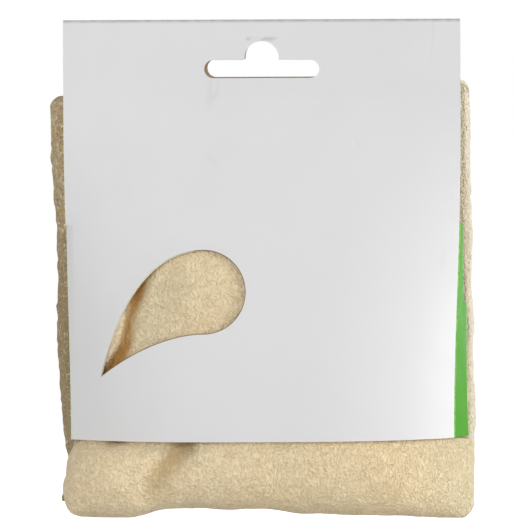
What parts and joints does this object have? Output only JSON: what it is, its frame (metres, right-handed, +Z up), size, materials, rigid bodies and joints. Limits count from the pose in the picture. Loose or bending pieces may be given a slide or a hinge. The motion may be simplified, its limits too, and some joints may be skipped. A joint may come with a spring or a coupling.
{
  "type": "folded chamois leather in a hang card",
  "caption": "Folded natural chamois cleaning leather held in the band of a die-cut hang card with a slotted header and a drop-shaped window.",
  "frame": {"origin": "crown of the hang slot, on the inside face of the front panel", "axes": "+Z up when the card hangs on its peg, -Y out of the printed front, +X to the right as the front is read"},
  "size_m": [0.1215, 0.0344, 0.1391],
  "materials": {
    "printed_board": "white clay-coated board with a semi-matt print varnish, green on the side wings, kraft brown inside",
    "dried_glue": "thin film of dried packaging adhesive",
    "chamois": "oil-tanned sheepskin, napped on both faces, pale straw yellow"
  },
  "bodies": {
    "card": {"card_sleeve": "printed_board", "header_glue": "dried_glue", "lap_glue": "dried_glue"},
    "leather": {"chamois_leather": "chamois"}
  },
  "joints": [
    {"name": "leather_slide", "type": "slide", "parent": "card", "child": "leather", "axis": [0, 0, -1], "range_m": [0, 0.1]}
  ]
}
